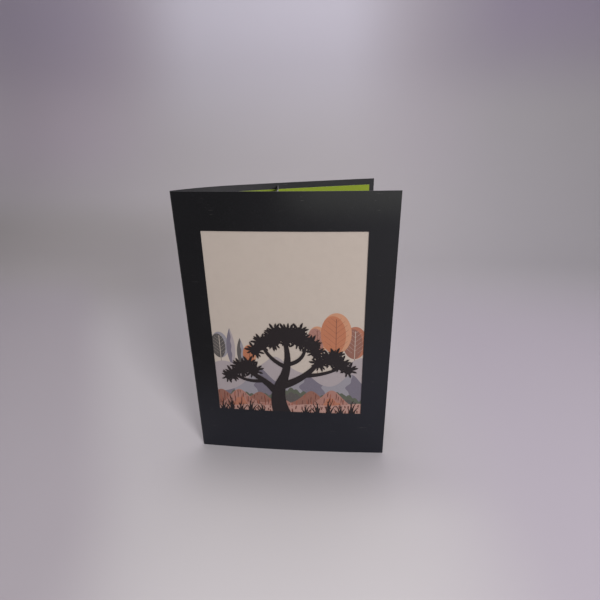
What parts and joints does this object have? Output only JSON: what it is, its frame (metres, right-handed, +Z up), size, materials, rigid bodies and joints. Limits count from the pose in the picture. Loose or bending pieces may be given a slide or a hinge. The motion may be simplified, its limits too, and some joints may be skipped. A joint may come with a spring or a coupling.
{
  "type": "greeting card",
  "caption": "Folded upright greeting card, standing slightly open, with a cut-out tree in its picture window, a printed sheet, an inner liner and a paper strap.",
  "frame": {"origin": "foot of the crease, in the middle of the cover's thickness, on the lower edge that the card stands on", "axes": "+Z up along the crease, +X along the front leaf's chord from the crease to its free edge, -Y out of the front of the card"},
  "size_m": [0.1269, 0.0514, 0.1778],
  "materials": {
    "black_card": "smooth matte black card, faint sheen",
    "printed_paper": "matte printed paper, cream ground",
    "lime_paper": "matte lime-green paper",
    "pale_paper": "matte pale grey paper"
  },
  "bodies": {
    "root": {"cover_sheet": "black_card", "picture_sheet": "printed_paper", "liner_sheet": "lime_paper", "popup_strap": "pale_paper"}
  },
  "joints": []
}
